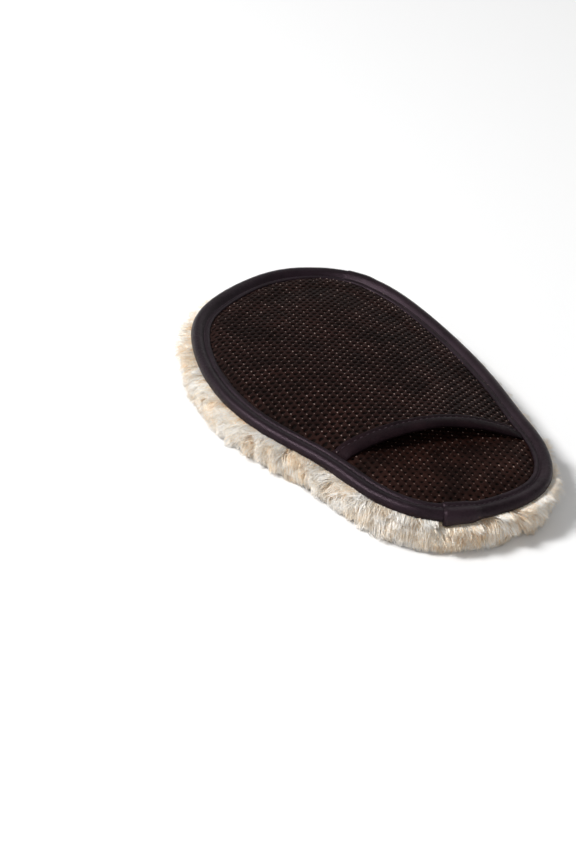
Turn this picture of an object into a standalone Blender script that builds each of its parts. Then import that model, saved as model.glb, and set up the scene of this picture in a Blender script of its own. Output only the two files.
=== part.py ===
"""Wash mitt: a sole-shaped wool pad with a hand pocket of mesh on its back.

Frame: +Y runs from the cuff to the finger end, +X to the right as seen from the
mesh side, and z = 0 is the tips of the pile that the mitt rests on. Lengths in
this file are in millimetres and angles in degrees; meshes are made in metres.
"""
import math

import bpy
import bmesh
import numpy as np

MM = 0.001
GAP = 0.3                 # clearance kept between touching pieces

# Outer edge of the binding, anticlockwise from the right of the finger end.
OUTLINE = [
    (55, 106), (20, 120.5), (-22, 111), (-52, 90), (-68, 58),
    (-74, 20), (-68.5, -18), (-58, -46), (-52.5, -66), (-47, -87),
    (-31, -110), (5, -120.5), (41, -111), (57, -88), (62.5, -63),
    (68, -36), (73, 2), (74, 42), (69.5, 79),
]
STEPS_PER_SPAN = 4        # stations between two outline points
FINE_STEPS = 48           # the same, for measuring along the outline

# Heights of the layers where the edge is squeezed by its binding.
BACKING_LOW = 16.5
BACKING_THICK = 1.0
MESH_THICK = 1.5
PAD_THICK = 3.5
LAYER_EDGE = 2.9          # layers stop this far inside the outline

# Binding tape, folded over the edge of the layers.
TAPE_THICK = 1.0
TAPE_WIDTH = 9.5          # from the outline in to the tape's edge
LAP_GROWTH = TAPE_THICK + GAP
LAP_LENGTH = 14.0
LAP_RAMP = 7.0            # the upper tape rises over this length
LAP_SHORTFALL = 1.5       # the lower tape ends this much before the rise begins
TAPE_STEP = 6.5           # spacing of the stations along a tape
HEAD_JOINT = (57, 108)    # where the two tapes meet at the finger end
CUFF_JOINT = (-27, -116)  # where they meet at the cuff
FOLD_ANGLES = [math.radians(a) for a in (90, 45, 0, -45, -90)]

# Wool pile under the backing, which bulges out past the binding: (inset, height)
# pairs from the rim of its face, round the bulge, to the backing.
PILE_BULGE = 6.0
PILE_SHOULDER = 12.6      # height of the pile under the binding
PILE_PROFILE = [
    (8.0, 0.0), (0.0, 1.2), (-PILE_BULGE + 1.2, 4.5), (-PILE_BULGE, 8.0),
    (-PILE_BULGE + 2.5, 11.4), (TAPE_WIDTH + 1, PILE_SHOULDER),
    (TAPE_WIDTH + 1.5, BACKING_LOW - GAP),
]

# Pocket cover: its edge clears the binding, and its mouth stands open.
COVER_INSET = 10.3
COVER_GAP = 1.2           # clearance over the palm mesh
COVER_THICK = 1.5
COVER_RISE = 4.0          # crown of the cover over the pad at the mouth
DOME_SQUARENESS = 2.4     # 2 is a parabola across the cover, more is flatter on top
DOME_FALL = 0.8           # 1 falls evenly from the mouth to the finger end
COVER_COLUMNS = 13        # grid lines across the cover, without its sewn edges
COVER_ROWS_AHEAD = (20, 36, 58, 84, 110, 128)
COVER_ROWS_SHORT = (16, 10, 6, 3, 1)
ROWS_STRAIGHT_AT = 90.0   # rows this far ahead no longer follow the mouth's curve
MOUTH = [(-54, -58), (-40, -55.5), (-8, -58.5), (20, -64.5), (38, -70.5), (58, -79)]
MOUTH_LIFT = 1.4          # room for the tape's lower flange at the mouth's ends
MOUTH_LIFT_LENGTH = 30.0
MOUTH_TAPE_WIDTH = 8.0
MOUTH_TAPE_THICK = 0.8
MOUTH_TAPE_INSET = 1.6    # the tape stops this far inside the cover's corners
SECOND_ROW = 8.5          # the cover's second row, just past the tape
CORNER_REACH = 22.0       # the tape turns along the sewn edges over this length
SLOPE_SPAN = 4.0          # a sewn edge's direction is taken this far either side
SOLVE_ROUNDS = 30         # rounds that find a corner where two curves meet

# Sewing threads.
STITCH_PITCH = 8.0
STITCH_WAVE = 0.3         # how far a thread rises between two holes
THREAD_WIDTH = 0.8
THREAD_THICK = 0.5
THREAD_CROWN = 0.6        # width of a thread's top as a share of its foot
STITCH_INSET = 7.6        # row on the edge binding, in from the outline
MOUTH_STITCH_INSET = 6.2  # row on the mouth tape, in from the mouth
MOUTH_STITCH_END = 3.0    # the row stops this far before the tape's ends

SHARP_ANGLE = math.radians(35)

COLOURS = {   # base colour and roughness
    "wool": ((0.86, 0.74, 0.55), 0.95),
    "knit": ((0.78, 0.66, 0.48), 0.95),
    "sponge": ((0.75, 0.72, 0.62), 0.95),
    "mesh": ((0.035, 0.018, 0.013), 0.8),
    "tape": ((0.045, 0.032, 0.038), 0.45),
    "thread": ((0.06, 0.035, 0.04), 0.5),
}


# ---------------------------------------------------------------- curves

def closed_spline(points, steps):
    """A smooth closed curve through the points, centred on its own box."""
    knots = np.array(points, float)
    count = len(knots)
    spans = np.linalg.norm(np.roll(knots, -1, 0) - knots, axis=1)
    system = np.zeros((count, count))
    right = np.zeros((count, 2))
    for i in range(count):
        before, after = spans[i - 1], spans[i]
        following = knots[(i + 1) % count]
        system[i, i - 1] = after
        system[i, i] = 2 * (before + after)
        system[i, (i + 1) % count] = before
        right[i] = 3 * (after * (knots[i] - knots[i - 1]) / before
                        + before * (following - knots[i]) / after)
    slopes = np.linalg.solve(system, right)
    curve = []
    for i in range(count):
        j = (i + 1) % count
        for t in np.linspace(0, 1, steps, endpoint=False):
            curve.append((2 * t**3 - 3 * t**2 + 1) * knots[i]
                         + (t**3 - 2 * t**2 + t) * spans[i] * slopes[i]
                         + (3 * t**2 - 2 * t**3) * knots[j]
                         + (t**3 - t**2) * spans[i] * slopes[j])
    curve = np.array(curve)
    return curve - (curve.max(0) + curve.min(0)) / 2


def outward(curve):
    """Unit normals that point out of an anticlockwise closed curve."""
    along = np.roll(curve, -1, 0) - np.roll(curve, 1, 0)
    along /= np.linalg.norm(along, axis=1)[:, None]
    return np.stack([along[:, 1], -along[:, 0]], axis=1)


EDGE = closed_spline(OUTLINE, STEPS_PER_SPAN)
EDGE_NORMAL = outward(EDGE)
FINE_EDGE = closed_spline(OUTLINE, FINE_STEPS)
FINE_NORMAL = outward(FINE_EDGE)
FINE_STATION = np.concatenate(
    [[0], np.cumsum(np.linalg.norm(np.diff(FINE_EDGE, axis=0), axis=1))])
EDGE_LENGTH = FINE_STATION[-1] + np.linalg.norm(FINE_EDGE[0] - FINE_EDGE[-1])


def inset(distance):
    """The outline moved inwards by a distance."""
    return EDGE - EDGE_NORMAL * distance


def station_of(point):
    """Length along the outline, from its first point, of the place nearest to a point."""
    return FINE_STATION[np.argmin(np.linalg.norm(FINE_EDGE - np.array(point), axis=1))]


def at_station(station):
    """The outline's point and outward normal at a length along it."""
    where = station % EDGE_LENGTH
    stations = np.append(FINE_STATION, EDGE_LENGTH)
    point, normal = (
        np.array([np.interp(where, stations, np.append(rows[:, k], rows[0, k]))
                  for k in range(2)])
        for rows in (FINE_EDGE, FINE_NORMAL))
    return point, normal / np.linalg.norm(normal)


def smooth(value):
    """0 below 0, 1 above 1, with a soft rise between."""
    t = min(max(value, 0.0), 1.0)
    return t * t * (3 - 2 * t)


# ---------------------------------------------------------------- heights

MESH_EDGE_LOW = BACKING_LOW + BACKING_THICK + GAP
MESH_EDGE_TOP = MESH_EDGE_LOW + MESH_THICK
PAD_LOW = MESH_EDGE_LOW
PAD_TOP = PAD_LOW + PAD_THICK
MESH_LOW = PAD_TOP + GAP
MESH_TOP = MESH_LOW + MESH_THICK
SLOPE_FOOT = 10.2         # the mesh climbs from the binding onto the pad
SLOPE_HEAD = 18.5
COVER_CLIMB = 13.2        # the cover climbs over this slope sooner
PAD_INSET = 11.5

COVER_EDGE = FINE_EDGE - FINE_NORMAL * COVER_INSET
COVER_HEAD = COVER_EDGE[np.argmax(COVER_EDGE[:, 1])]


def mouth_y(x):
    """The mouth line: y of the cover's free edge at x, smooth through MOUTH."""
    xs, ys = np.array(MOUTH, float).T
    slopes = np.gradient(ys, xs)
    i = int(np.clip(np.searchsorted(xs, x) - 1, 0, len(xs) - 2))
    span = xs[i + 1] - xs[i]
    t = (x - xs[i]) / span
    return ((2 * t**3 - 3 * t**2 + 1) * ys[i] + (t**3 - 2 * t**2 + t) * span * slopes[i]
            + (3 * t**2 - 2 * t**3) * ys[i + 1] + (t**3 - t**2) * span * slopes[i + 1])


def half_widths(y):
    """x of the cover's left and right sewn edges at a height y."""
    left = COVER_EDGE[COVER_EDGE[:, 0] < COVER_HEAD[0]]
    right = COVER_EDGE[COVER_EDGE[:, 0] >= COVER_HEAD[0]]
    sides = [side[np.argsort(side[:, 1])] for side in (left, right)]
    return [float(np.interp(y, side[:, 1], side[:, 0])) for side in sides]


def over_palm(x, y):
    """A level just above the palm mesh: low beside the binding, higher over the pad."""
    depth = np.min(np.linalg.norm(FINE_EDGE - np.array([x, y]), axis=1))
    climb = min(max((depth - SLOPE_FOOT) / (COVER_CLIMB - SLOPE_FOOT), 0), 1)
    return MESH_EDGE_TOP + (MESH_TOP - MESH_EDGE_TOP) * climb


def cover_middle(x, y):
    """Height of the middle of the cover's cloth: a dome that opens at the mouth."""
    left, right = half_widths(y)
    middle = (left + right) / 2
    across = min(abs(x - middle) / max((right - left) / 2, 1.0), 1.0)
    ahead = max(y - mouth_y(x), 0.0)
    reach = min(ahead / (COVER_HEAD[1] - mouth_y(x)), 1.0)
    dome = COVER_RISE * (1 - across**DOME_SQUARENESS) * (1 - reach) ** DOME_FALL
    lift = MOUTH_LIFT * (1 - smooth(ahead / MOUTH_LIFT_LENGTH))
    return over_palm(x, y) + COVER_GAP + COVER_THICK / 2 + lift + dome


# ---------------------------------------------------------------- solids

def material(name):
    """The Principled material of one kind of cloth."""
    if name in bpy.data.materials:
        return bpy.data.materials[name]
    colour, roughness = COLOURS[name]
    made = bpy.data.materials.new(name)
    made.use_nodes = True
    shader = made.node_tree.nodes["Principled BSDF"]
    shader.inputs["Base Color"].default_value = (*colour, 1)
    shader.inputs["Roughness"].default_value = roughness
    shader.inputs["Metallic"].default_value = 0.0
    return made


def finish(name, bm, cloth):
    """Turn a bmesh in metres into a named, smooth-shaded object."""
    bmesh.ops.recalc_face_normals(bm, faces=bm.faces)
    mesh = bpy.data.meshes.new(name)
    bm.to_mesh(mesh)
    bm.free()
    mesh.materials.append(material(cloth))
    mesh.shade_smooth()
    mesh.set_sharp_from_angle(angle=SHARP_ANGLE)
    made = bpy.data.objects.new(name, mesh)
    bpy.context.collection.objects.link(made)
    return made


def add_loop(bm, points):
    """Vertices for a loop of points in millimetres."""
    return [bm.verts.new([float(c) * MM for c in point]) for point in points]


def bridge(bm, first, second, closed=True):
    """Quads between two loops with the same number of vertices."""
    last = len(first) if closed else len(first) - 1
    for i in range(last):
        j = (i + 1) % len(first)
        bm.faces.new((first[i], first[j], second[j], second[i]))


def layer(name, profile, cloth):
    """A sheet with the mitt's outline. The profile is (inset, height) pairs from
    the rim of its underside, round its edge, to the rim of its upper side."""
    bm = bmesh.new()
    loops = [add_loop(bm, [(x, y, height) for x, y in inset(distance)])
             for distance, height in profile]
    for lower, upper in zip(loops, loops[1:]):
        bridge(bm, lower, upper)
    bm.faces.new(reversed(loops[0]))
    bm.faces.new(loops[-1])
    return finish(name, bm, cloth)


def swept(name, sections, cloth, closed=False):
    """A solid through a row of sections, capped at its ends unless it is closed."""
    bm = bmesh.new()
    loops = [add_loop(bm, section) for section in sections]
    following = loops[1:] + loops[:1] if closed else loops[1:]
    for first, second in zip(loops, following):
        bridge(bm, first, second)
    if not closed:
        bm.faces.new(loops[0])
        bm.faces.new(reversed(loops[-1]))
    return finish(name, bm, cloth)


def tape_section(growth):
    """Section of the edge tape as (inset, height) pairs, a C that opens inwards.
    Growth makes the tape larger all round, to lap over another tape."""
    axis = (BACKING_LOW + MESH_EDGE_TOP) / 2
    inner = (MESH_EDGE_TOP - BACKING_LOW) / 2 + GAP + growth
    outer = inner + TAPE_THICK
    centre = outer - growth   # of the round fold, which touches the outline if not grown
    out_arc = [(centre - outer * math.cos(a), axis + outer * math.sin(a)) for a in FOLD_ANGLES]
    in_arc = [(centre - inner * math.cos(a), axis + inner * math.sin(a))
              for a in reversed(FOLD_ANGLES)]
    return ([(TAPE_WIDTH, axis + outer)] + out_arc + [(TAPE_WIDTH, axis - outer)]
            + [(TAPE_WIDTH, axis - inner)] + in_arc + [(TAPE_WIDTH, axis + inner)])


def lap_growth(distance):
    """How far the upper tape has risen, by its distance from its lapped end."""
    return LAP_GROWTH * (1 - smooth((distance - LAP_LENGTH) / LAP_RAMP))


def right_growth(station):
    """Growth of the right tape, which laps over the left one at both ends."""
    return max(lap_growth(station - RIGHT_START), lap_growth(RIGHT_END - station))


def edge_tape(name, start, end, growth_at):
    """A tape folded over the edge from one station to another."""
    sections = []
    for station in np.linspace(start, end, int((end - start) / TAPE_STEP) + 2):
        point, normal = at_station(station)
        sections.append([(*(point - normal * distance), height)
                         for distance, height in tape_section(growth_at(station))])
    return swept(name, sections, "tape")


def thread(name, path, closed):
    """A sewing thread laid along a path of (plan point, sideways direction, height)
    entries, flat below and pressed into the cloth between its stitches."""
    sections = []
    for point, aside, low in path:
        foot = aside * THREAD_WIDTH / 2
        crown = foot * THREAD_CROWN
        sections.append([
            (*(point - foot), low), (*(point + foot), low),
            (*(point + crown), low + THREAD_THICK), (*(point - crown), low + THREAD_THICK)])
    return swept(name, sections, "thread", closed)


def growth_near(station):
    """The most that the tapes stand proud within a stitch of a station."""
    found = 0.0
    for step in (-1, -0.5, 0, 0.5, 1):
        where = (station + step * STITCH_PITCH - RIGHT_START) % EDGE_LENGTH + RIGHT_START
        if where <= RIGHT_END:
            found = max(found, right_growth(where))
    return found


def edge_thread(name, above):
    """The thread round the edge, on the tape or underneath it."""
    tape_top = MESH_EDGE_TOP + GAP + TAPE_THICK
    tape_low = BACKING_LOW - GAP - TAPE_THICK
    count = 2 * int(EDGE_LENGTH / STITCH_PITCH)
    path = []
    for i in range(count):
        station = RIGHT_START + i * EDGE_LENGTH / count
        point, normal = at_station(station)
        stand = growth_near(station) + GAP + STITCH_WAVE * (i % 2)
        low = tape_top + stand if above else tape_low - stand - THREAD_THICK
        path.append((point - normal * STITCH_INSET, normal, low))
    return thread(name, path, True)


def mouth_corners():
    """x where the mouth line meets the cover's sewn edge, left and right."""
    found = []
    for side, x in enumerate((-50.0, 50.0)):
        for _ in range(SOLVE_ROUNDS):
            x = half_widths(mouth_y(x))[side]
        found.append(x)
    return found


LEFT_CORNER, RIGHT_CORNER = mouth_corners()


def columns(left, right):
    """x of the cover's grid lines across a row, the outer ones on the climb."""
    climb = COVER_CLIMB - COVER_INSET
    inner = np.linspace(left + climb, right - climb, COVER_COLUMNS)
    return [left, *inner, right]


def mouth_frame(x):
    """Point on the mouth line, and the direction from it into the cover, which
    follows the sewn edges at the corners. It is 1 long square to the line."""
    slope = mouth_y(x + 0.5) - mouth_y(x - 0.5)
    square = np.array([-slope, 1.0]) / math.hypot(slope, 1.0)
    ahead = square
    for side, gap in ((0, x - LEFT_CORNER), (1, RIGHT_CORNER - x)):
        y = mouth_y(x)
        run = half_widths(y + SLOPE_SPAN)[side] - half_widths(y - SLOPE_SPAN)[side]
        edge = np.array([run, 2 * SLOPE_SPAN])
        share = 1 - smooth(gap / CORNER_REACH)
        ahead = ahead * (1 - share) + edge / np.linalg.norm(edge) * share
    return np.array([x, mouth_y(x)]), ahead / (ahead @ square)


def cover_rows():
    """Plan of the cover as rows of points, from the mouth to the finger end."""
    mouth = [mouth_frame(x) for x in columns(LEFT_CORNER, RIGHT_CORNER)]
    second = np.array([point + ahead * SECOND_ROW for point, ahead in mouth])
    for column, side in ((0, 0), (-1, 1)):
        second[column, 0] = half_widths(second[column, 1])[side]
    rows = [np.array([point for point, _ in mouth]), second]
    for ahead in COVER_ROWS_AHEAD:
        straight = smooth(ahead / ROWS_STRAIGHT_AT)
        level = mouth_y(0) + ahead
        ends = [LEFT_CORNER, RIGHT_CORNER]
        for side in (0, 1):
            for _ in range(SOLVE_ROUNDS):
                y = (mouth_y(ends[side]) + ahead) * (1 - straight) + level * straight
                ends[side] = half_widths(y)[side]
        rows.append(np.array([
            (x, (mouth_y(x) + ahead) * (1 - straight) + level * straight)
            for x in columns(*ends)]))
    for short in COVER_ROWS_SHORT:
        y = COVER_HEAD[1] - short
        left, right = half_widths(y)
        rows.append(np.array([(x, y) for x in columns(left, right)]))
    return rows


def back_mesh():
    """The pocket cover, a domed sheet."""
    bm = bmesh.new()
    rims = []
    for half in (-COVER_THICK / 2, COVER_THICK / 2):
        rows = [add_loop(bm, [(x, y, cover_middle(x, y) + half) for x, y in row])
                for row in cover_rows()]
        tip = add_loop(bm, [(*COVER_HEAD, cover_middle(*COVER_HEAD) + half)])[0]
        for row, following in zip(rows, rows[1:]):
            bridge(bm, row, following, closed=False)
        for vertex, following in zip(rows[-1], rows[-1][1:]):
            bm.faces.new((vertex, following, tip))
        rims.append(rows[0] + [row[-1] for row in rows[1:]] + [tip]
                    + [row[0] for row in reversed(rows[1:])])
    bridge(bm, *rims)
    return finish("back_mesh", bm, "mesh")


def mouth_tape():
    """The tape folded over the cover's free edge, which follows its dome."""
    inner = COVER_THICK / 2 + GAP
    outer = inner + MOUTH_TAPE_THICK
    out_arc = [(-outer * math.cos(a), outer * math.sin(a)) for a in FOLD_ANGLES]
    in_arc = [(-inner * math.cos(a), inner * math.sin(a)) for a in reversed(FOLD_ANGLES)]
    profile = ([(MOUTH_TAPE_WIDTH, outer)] + out_arc + [(MOUTH_TAPE_WIDTH, -outer)]
               + [(MOUTH_TAPE_WIDTH, -inner)] + in_arc + [(MOUTH_TAPE_WIDTH, inner)])
    sections = []
    stations = columns(LEFT_CORNER, RIGHT_CORNER)
    stations[0] += MOUTH_TAPE_INSET
    stations[-1] -= MOUTH_TAPE_INSET
    for x in stations:
        point, inward = mouth_frame(x)
        section = []
        for distance, height in profile:
            place = point + inward * distance
            base = cover_middle(*(point + inward * max(distance, 0.0)))
            section.append((*place, base + height))
        sections.append(section)
    return swept("mouth_binding", sections, "tape")


def mouth_thread(name, above):
    """The thread along the mouth tape, on it or underneath it."""
    margin = MOUTH_TAPE_INSET + MOUTH_STITCH_END
    ends = (LEFT_CORNER + margin, RIGHT_CORNER - margin)
    count = 2 * int((ends[1] - ends[0]) / STITCH_PITCH) + 1
    reach = COVER_THICK / 2 + GAP + MOUTH_TAPE_THICK + GAP
    path = []
    for i, x in enumerate(np.linspace(*ends, count)):
        point, inward = mouth_frame(x)
        centre = point + inward * MOUTH_STITCH_INSET
        middles = [cover_middle(*(centre + inward * side * THREAD_CROWN))
                   for side in (-1, 0, 1)]
        wave = STITCH_WAVE * (i % 2)
        if above:
            low = max(middles) + reach + wave
        else:
            low = min(middles) - reach - wave - THREAD_THICK
        path.append((centre, -inward, low))
    return thread(name, path, False)


# ---------------------------------------------------------------- the mitt

for leftover in list(bpy.data.objects):
    bpy.data.objects.remove(leftover, do_unlink=True)

RIGHT_END = station_of(HEAD_JOINT) + EDGE_LENGTH
RIGHT_START = station_of(CUFF_JOINT)

layer("wool_pile", PILE_PROFILE, "wool")
layer("pile_backing", [
    (LAYER_EDGE, BACKING_LOW), (LAYER_EDGE, BACKING_LOW + BACKING_THICK)], "knit")
layer("sponge_pad", [
    (PAD_INSET, PAD_LOW), (PAD_INSET, PAD_LOW + 0.4), (SLOPE_HEAD, PAD_TOP)], "sponge")
layer("palm_mesh", [
    (SLOPE_HEAD, MESH_LOW), (SLOPE_FOOT, MESH_EDGE_LOW), (LAYER_EDGE, MESH_EDGE_LOW),
    (LAYER_EDGE, MESH_EDGE_TOP), (SLOPE_FOOT, MESH_EDGE_TOP), (SLOPE_HEAD, MESH_TOP)], "mesh")
edge_tape("edge_binding_right", RIGHT_START, RIGHT_END, right_growth)
edge_tape("edge_binding_left", RIGHT_END - EDGE_LENGTH - LAP_LENGTH + LAP_SHORTFALL,
          RIGHT_START + LAP_LENGTH - LAP_SHORTFALL, lambda station: 0.0)
edge_thread("edge_thread", True)
edge_thread("edge_bobbin_thread", False)
cover = [back_mesh(), mouth_tape(),
         mouth_thread("mouth_thread", True), mouth_thread("mouth_bobbin_thread", False)]

# The cover turns up about its sewn edge at the finger end.
hinge = bpy.data.objects.new("pocket_hinge", None)
hinge.location = (0, COVER_HEAD[1] * MM, (MESH_EDGE_TOP + COVER_GAP) * MM)
bpy.context.collection.objects.link(hinge)
for piece in cover:
    piece.parent = hinge
    piece.matrix_parent_inverse.identity()
    piece.location = [-c for c in hinge.location]
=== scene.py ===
"""Looks of the wash mitt: pile, spacer mesh, folded satin tape and sewing threads.

Shape numbers are millimetres in the frame's axes: +Y runs to the finger end, +X to the
right as seen from the mesh side, and z = 0 is the floor. Meshes are made in metres.
"""
import math

import bpy
import numpy as np
from mathutils import Matrix, Vector
from mathutils.bvhtree import BVHTree


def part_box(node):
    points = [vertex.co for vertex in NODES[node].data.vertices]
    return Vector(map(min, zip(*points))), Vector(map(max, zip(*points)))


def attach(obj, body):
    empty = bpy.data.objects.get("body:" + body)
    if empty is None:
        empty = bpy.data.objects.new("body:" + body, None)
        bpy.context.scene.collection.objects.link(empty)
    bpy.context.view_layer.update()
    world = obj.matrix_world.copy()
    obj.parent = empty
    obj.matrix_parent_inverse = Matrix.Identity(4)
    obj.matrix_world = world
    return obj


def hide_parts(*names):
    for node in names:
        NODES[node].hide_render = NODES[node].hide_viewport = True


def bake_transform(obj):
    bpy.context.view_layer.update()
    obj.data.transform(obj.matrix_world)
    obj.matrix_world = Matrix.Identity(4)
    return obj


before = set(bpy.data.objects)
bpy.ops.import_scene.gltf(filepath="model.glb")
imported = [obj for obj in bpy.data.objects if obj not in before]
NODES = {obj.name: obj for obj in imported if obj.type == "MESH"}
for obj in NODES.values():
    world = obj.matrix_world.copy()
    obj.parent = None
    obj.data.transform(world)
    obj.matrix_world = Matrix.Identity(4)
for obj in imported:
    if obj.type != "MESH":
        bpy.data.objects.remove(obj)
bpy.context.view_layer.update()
MM = 0.001

# Mesh cloth: staggered cells in columns along Y.
CELL_COLUMN = 3.37        # spacing of the columns
CELL_PITCH = 3.85         # spacing along a column
CELL_DEPTH = 1.0
# Cloths end this far in from the outline, under the binding.
BACKING_INSET = 3.0
PALM_INSET = 5.0
COVER_INSET = 8.6
MOUTH_GAP = 2.6           # the cover's cells begin this far behind its free edge
# Binding tape.
FLANGE = 9.6              # its inner edge, in from the outline
TAPE_STATION = 1.6        # spacing of the sections swept along the edge
LAP_GROWTH = 1.3
HEAD_LAP_SHARE = 0.3      # the lap at the finger end is pulled flatter than the cuff one
LAP_ABOVE = 0.75          # share of the growth that shows on top
LAP_LENGTH = 14.0
LAP_SHORTFALL = 2.0       # the lower tape's ends lie this far inside the lapped length
CUFF_DROOP = 1.3          # the cuff end of the right tape hangs this much lower
STITCH_PITCH = 3.2
STITCH_RADIUS = 0.27
STITCH_SIDES = 6
# Pile.
PILE_CLUMPS = 1500
STRANDS_PER_PIECE = 9000
RIM_PIECES = 8
FACE_STRANDS = 7000
# Tables that smooth random values are read from.
NOISE_TABLE = 256
WAVE_TABLE = 2048


# ---- helpers

def smooth(value):
    """0 below 0, 1 above 1, with a soft rise between. Works on arrays."""
    t = np.clip(value, 0.0, 1.0)
    return t * t * (3 - 2 * t)


def unit(vectors):
    """Vectors scaled to length 1."""
    return vectors / np.maximum(np.linalg.norm(vectors, axis=-1), 1e-9)[..., None]


def mesh_object(name, points, faces, materials, slots=None):
    """A smooth object from points in millimetres and a list or an array of faces."""
    if isinstance(faces, np.ndarray):
        corners, sizes = faces.ravel(), np.full(len(faces), faces.shape[1])
    else:
        corners, sizes = np.concatenate(faces), np.array([len(face) for face in faces])
    starts = np.concatenate([[0], np.cumsum(sizes)[:-1]])
    points = np.asarray(points, np.float32) * MM
    mesh = bpy.data.meshes.new(name)
    mesh.vertices.add(len(points))
    mesh.vertices.foreach_set("co", points.ravel())
    mesh.loops.add(len(corners))
    mesh.loops.foreach_set("vertex_index", corners.astype(np.int32))
    mesh.polygons.add(len(sizes))
    mesh.polygons.foreach_set("loop_start", starts.astype(np.int32))
    for material in materials:
        mesh.materials.append(material)
    if slots is not None:
        mesh.polygons.foreach_set("material_index", np.asarray(slots, np.int32))
    mesh.polygons.foreach_set("use_smooth", np.full(len(sizes), True))
    mesh.update(calc_edges=True)
    mesh.validate()
    made = bpy.data.objects.new(name, mesh)
    bpy.context.scene.collection.objects.link(made)
    return made


def ring_quads(count, rings):
    """Quads between neighbouring closed rings of count points each."""
    here = np.arange(count)
    after = (here + 1) % count
    return [quad for k in range(rings - 1)
            for quad in np.stack([here, after, after + count, here + count], axis=1) + k * count]


def tube(name, points, count, material):
    """An object of rings of count points each, capped at both ends."""
    rings = len(points) // count
    end = np.arange(count)
    faces = ring_quads(count, rings) + [end[::-1], end + (rings - 1) * count]
    return mesh_object(name, points, faces, [material])


def noise_1d(seed, count, waves):
    """A smooth random closed curve of values, about -1 to 1, with that many waves."""
    random = np.random.default_rng(seed)
    turn = np.linspace(0, 2 * np.pi, count, endpoint=False)
    total = np.zeros(count)
    for wave in range(max(1, waves // 3), waves + 1):
        total += random.normal() * np.cos(wave * turn + random.uniform(0, 2 * np.pi))
    return total / max(np.abs(total).max(), 1e-9)


def between(table, i, j, a, b):
    """Values of a table at i, j, blended with the next row and column by shares."""
    k, m = (i + 1) % table.shape[0], (j + 1) % table.shape[1]
    i, j = i % table.shape[0], j % table.shape[1]
    return ((table[i, j] * (1 - b) + table[i, m] * b) * (1 - a)
            + (table[k, j] * (1 - b) + table[k, m] * b) * a)


def noise_2d(seed, size, x, y, octaves=2):
    """Smooth random values, about -1 to 1, at points of the plan; size is the
    distance between features."""
    total = np.zeros(np.shape(x))
    for octave in range(octaves):
        random = np.random.default_rng(seed + octave)
        table = random.uniform(-1, 1, (NOISE_TABLE, NOISE_TABLE))
        step = size / 2**octave
        u, v = np.asarray(x) / step + 91.7, np.asarray(y) / step + 53.3
        i, j = np.floor(u).astype(int), np.floor(v).astype(int)
        a, b = smooth(u - i), smooth(v - j)
        total += 0.5**octave * between(table, i, j, a, b)
    return total


# ---- plan of the mitt

def ring_of(node):
    """A flat node's outline as points in angle order, in millimetres."""
    co = np.array([v.co for v in NODES[node].data.vertices]) / MM
    co = co[np.abs(co[:, 2] - co[:, 2].min()) < 0.01][:, :2]
    co = co[np.argsort(np.arctan2(co[:, 1], co[:, 0]))]
    keep = np.linalg.norm(co - np.roll(co, 1, 0), axis=1) > 0.05
    return co[keep]


def resample(ring, count):
    """A smooth closed curve through a ring of points, evenly spaced."""
    before, after, second = np.roll(ring, 1, 0), np.roll(ring, -1, 0), np.roll(ring, -2, 0)
    t = np.linspace(0, 1, 16, endpoint=False)[None, :, None]
    fine = 0.5 * (2 * ring[:, None] + (after - before)[:, None] * t
                  + (2 * before - 5 * ring + 4 * after - second)[:, None] * t**2
                  + (3 * ring - before - 3 * after + second)[:, None] * t**3)
    fine = fine.reshape(-1, 2)
    steps = np.linalg.norm(np.roll(fine, -1, 0) - fine, axis=1)
    along = np.concatenate([[0], np.cumsum(steps)])
    closed = np.vstack([fine, fine[:1]])
    want = np.linspace(0, along[-1], count, endpoint=False)
    return np.stack([np.interp(want, along, closed[:, k]) for k in (0, 1)], axis=1)


def outward(curve):
    """Unit normals that point out of an anticlockwise closed curve."""
    along = unit(np.roll(curve, -1, 0) - np.roll(curve, 1, 0))
    return np.stack([along[:, 1], -along[:, 0]], axis=1)


def mm_box(node):
    """Corners of a CAD node in millimetres, as two arrays."""
    return [np.array(corner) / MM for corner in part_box(node)]


BACKING = mm_box("pile_backing")
LEFT_TAPE, RIGHT_TAPE = mm_box("edge_binding_left"), mm_box("edge_binding_right")
COVER, PILE = mm_box("back_mesh"), mm_box("wool_pile")
LAYER_EDGE = BACKING[0][0] - LEFT_TAPE[0][0]
EDGE_COUNT = 1440
_backing = resample(ring_of("pile_backing"), EDGE_COUNT)
EDGE = resample(_backing + outward(_backing) * LAYER_EDGE, EDGE_COUNT)
NORMAL = outward(EDGE)
EDGE_LENGTH = float(np.linalg.norm(np.roll(EDGE, -1, 0) - EDGE, axis=1).sum())
TAPE_AXIS = (LEFT_TAPE[0][2] + LEFT_TAPE[1][2]) / 2   # height of the fold
TAPE_REACH = (LEFT_TAPE[1][2] - LEFT_TAPE[0][2]) / 2
COARSE = 4                # depths are measured from every fourth point of the edge
LAYER_STEP = 6            # the inner layers use every sixth point of it
BODY_STEP = 3             # and the pile's body every third


def depth(x, y):
    """How far points of the plan lie inside the outline; negative outside."""
    spots = np.stack([np.ravel(x), np.ravel(y)], axis=1)
    edge, normal = EDGE[::COARSE], NORMAL[::COARSE]
    found = []
    for block in np.array_split(spots, len(spots) // 4000 + 1):
        near = ((block[:, None] - edge[None]) ** 2).sum(2).argmin(1)
        found.append(((edge[near] - block) * normal[near]).sum(1))
    return np.concatenate(found).reshape(np.shape(x))


def at(station):
    """Points and outward normals of the outline at lengths along it."""
    where = np.asarray(station) / EDGE_LENGTH * EDGE_COUNT
    i = np.floor(where).astype(int)
    t = (where - i)[..., None]
    i, j = i % EDGE_COUNT, (i + 1) % EDGE_COUNT
    return EDGE[i] * (1 - t) + EDGE[j] * t, unit(NORMAL[i] * (1 - t) + NORMAL[j] * t)


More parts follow.
